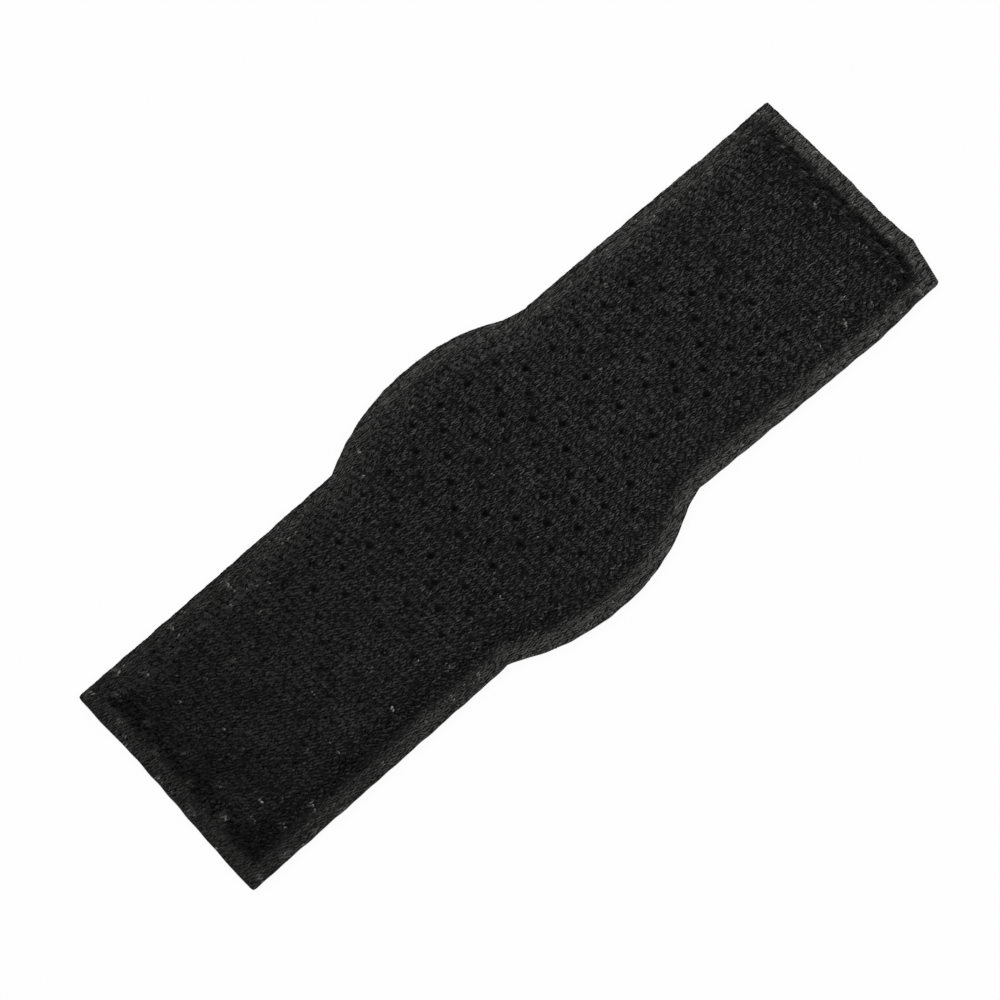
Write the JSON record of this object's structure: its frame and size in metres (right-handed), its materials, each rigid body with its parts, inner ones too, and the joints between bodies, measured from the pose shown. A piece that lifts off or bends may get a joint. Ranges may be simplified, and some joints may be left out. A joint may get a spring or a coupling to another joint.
{
  "type": "wrist splint",
  "caption": "Flat padded wrist splint band with a perforated mesh face, welded rim and a round stiffened middle; both wings flex up to wrap a wrist.",
  "frame": {"origin": "under the middle of the back, on the surface the band lies on", "axes": "+X along the band, +Y across it, +Z out of the mesh face"},
  "size_m": [0.128, 0.045, 0.0046],
  "materials": {
    "mesh_knit": "matte",
    "mesh_pile": "matte",
    "foam": "matte",
    "loop_cloth": "matte",
    "plate": "satin"
  },
  "bodies": {
    "middle": {"face_knit_middle": "mesh_knit", "spacer_pile_middle": "mesh_pile", "foam_middle": "foam", "loop_cloth_middle": "loop_cloth", "splint_plate": "plate"},
    "left_root": {"face_knit_left_root": "mesh_knit", "spacer_pile_left_root": "mesh_pile", "foam_left_root": "foam", "loop_cloth_left_root": "loop_cloth"},
    "left_mid": {"face_knit_left_mid": "mesh_knit", "spacer_pile_left_mid": "mesh_pile", "foam_left_mid": "foam", "loop_cloth_left_mid": "loop_cloth"},
    "left_tip": {"face_knit_left_tip": "mesh_knit", "spacer_pile_left_tip": "mesh_pile", "foam_left_tip": "foam", "loop_cloth_left_tip": "loop_cloth"},
    "right_root": {"face_knit_right_root": "mesh_knit", "spacer_pile_right_root": "mesh_pile", "foam_right_root": "foam", "loop_cloth_right_root": "loop_cloth"},
    "right_mid": {"face_knit_right_mid": "mesh_knit", "spacer_pile_right_mid": "mesh_pile", "foam_right_mid": "foam", "loop_cloth_right_mid": "loop_cloth"},
    "right_tip": {"face_knit_right_tip": "mesh_knit", "spacer_pile_right_tip": "mesh_pile", "foam_right_tip": "foam", "loop_cloth_right_tip": "loop_cloth"}
  },
  "joints": [
    {"name": "left_root_flex", "type": "hinge", "parent": "middle", "child": "left_root", "pos_m": [-0.02256, 0, 0.0046], "axis": [0, 1, 0], "range_deg": [0, 40], "stiffness_Nm_per_rad": 0.003},
    {"name": "left_mid_flex", "type": "hinge", "parent": "left_root", "child": "left_mid", "pos_m": [-0.03681, 0, 0.0046], "axis": [0, 1, 0], "range_deg": [0, 40], "stiffness_Nm_per_rad": 0.003},
    {"name": "left_tip_flex", "type": "hinge", "parent": "left_mid", "child": "left_tip", "pos_m": [-0.05106, 0, 0.0046], "axis": [0, 1, 0], "range_deg": [0, 40], "stiffness_Nm_per_rad": 0.003},
    {"name": "right_root_flex", "type": "hinge", "parent": "middle", "child": "right_root", "pos_m": [0.02256, 0, 0.0046], "axis": [0, -1, 0], "range_deg": [0, 40], "stiffness_Nm_per_rad": 0.003},
    {"name": "right_mid_flex", "type": "hinge", "parent": "right_root", "child": "right_mid", "pos_m": [0.03681, 0, 0.0046], "axis": [0, -1, 0], "range_deg": [0, 40], "stiffness_Nm_per_rad": 0.003},
    {"name": "right_tip_flex", "type": "hinge", "parent": "right_mid", "child": "right_tip", "pos_m": [0.05106, 0, 0.0046], "axis": [0, -1, 0], "range_deg": [0, 40], "stiffness_Nm_per_rad": 0.003}
  ],
  "couplings": [
    {"joint": "left_mid_flex", "follows": "left_root_flex", "ratio": 1},
    {"joint": "left_tip_flex", "follows": "left_root_flex", "ratio": 1},
    {"joint": "right_mid_flex", "follows": "right_root_flex", "ratio": 1},
    {"joint": "right_tip_flex", "follows": "right_root_flex", "ratio": 1}
  ]
}
